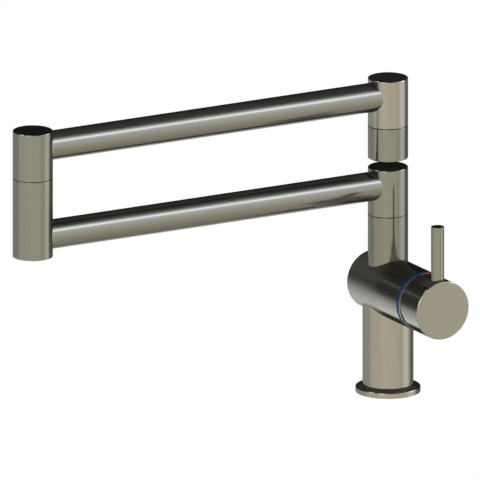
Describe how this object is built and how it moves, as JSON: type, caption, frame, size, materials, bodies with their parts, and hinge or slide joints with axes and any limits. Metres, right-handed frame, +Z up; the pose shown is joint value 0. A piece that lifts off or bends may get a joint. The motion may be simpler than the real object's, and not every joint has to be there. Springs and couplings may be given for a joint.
{
  "type": "mixer tap",
  "caption": "Single-lever kitchen mixer tap with a round body, a horizontal handle barrel and a folding double-jointed spout whose outlet hangs over the column.",
  "frame": {"origin": "on the tap's upright axis, at the worktop's surface under the flange", "axes": "+Z up, -Y from the tap's axis towards the handle, -X from the column towards the elbow of the folded spout"},
  "size_m": [0.3433, 0.1076, 0.3015],
  "materials": {
    "brushed_nickel": "fine brushed warm nickel on brass and steel",
    "bright_chrome": "polished chrome",
    "plain_steel": "zinc plated steel",
    "brass": "machined brass",
    "black_rubber": "matt black rubber",
    "alumina": "ground alumina ceramic",
    "white_plastic": "moulded white plastic",
    "grey_plastic": "moulded grey plastic",
    "blue_plastic": "glossy blue plastic",
    "red_plastic": "glossy red plastic"
  },
  "bodies": {
    "base": {"tap_body": "brushed_nickel", "base_flange": "brushed_nickel", "base_seal": "black_rubber", "cartridge_base": "white_plastic", "port_seals": "black_rubber", "cartridge_housing": "grey_plastic", "fixed_disc": "alumina", "cartridge_nut": "brass", "cold_ring_half": "blue_plastic", "hot_ring_half": "red_plastic", "seat_collar": "bright_chrome", "column_washer": "black_rubber", "column_lock_screw": "plain_steel", "fixing_stud": "plain_steel", "clamp_gasket": "black_rubber", "clamp_washer": "plain_steel", "clamp_nut": "plain_steel"},
    "lower_arm": {"lower_hub": "brushed_nickel", "column_slide_rings": "white_plastic", "column_orings": "black_rubber", "lower_arm_tube": "brushed_nickel", "elbow_socket": "brushed_nickel", "elbow_washer": "black_rubber", "elbow_lock_screw": "plain_steel"},
    "upper_arm": {"elbow_head": "brushed_nickel", "elbow_slide_rings": "white_plastic", "elbow_orings": "black_rubber", "upper_arm_tube": "brushed_nickel", "outlet_head": "brushed_nickel", "nozzle_seal": "black_rubber", "outlet_nozzle": "brushed_nickel", "aerator_gasket": "black_rubber", "aerator_insert": "white_plastic", "aerator_housing": "bright_chrome"},
    "mixing_rotor": {"cartridge_rotor": "white_plastic", "stem_pin": "plain_steel"},
    "handle": {"control_stem": "brass", "handle_cap": "brushed_nickel", "lever_pin": "brushed_nickel", "handle_grub_screw": "plain_steel"},
    "control_disc": {"moving_disc": "alumina", "disc_carrier": "grey_plastic"}
  },
  "joints": [
    {"name": "arm_swivel", "type": "hinge", "parent": "base", "child": "lower_arm", "pos_m": [0, 0, 0.137], "axis": [0, 0, 1], "continuous": true},
    {"name": "elbow_swivel", "type": "hinge", "parent": "lower_arm", "child": "upper_arm", "pos_m": [-0.304, 0, 0.2055], "axis": [0, 0, 1], "continuous": true},
    {"name": "handle_turn", "type": "hinge", "parent": "base", "child": "mixing_rotor", "pos_m": [0, 0, 0.0815], "axis": [0, 1, 0], "range_deg": [-45, 45]},
    {"name": "handle_tilt", "type": "hinge", "parent": "mixing_rotor", "child": "handle", "pos_m": [0, -0.04105, 0.0815], "axis": [1, 0, 0], "range_deg": [0, 20]},
    {"name": "disc_slide", "type": "slide", "parent": "mixing_rotor", "child": "control_disc", "axis": [0, 0, 1], "range_m": [0, 0.004]}
  ],
  "couplings": [
    {"joint": "disc_slide", "follows": "handle_tilt", "m_per_rad": 0.011}
  ]
}
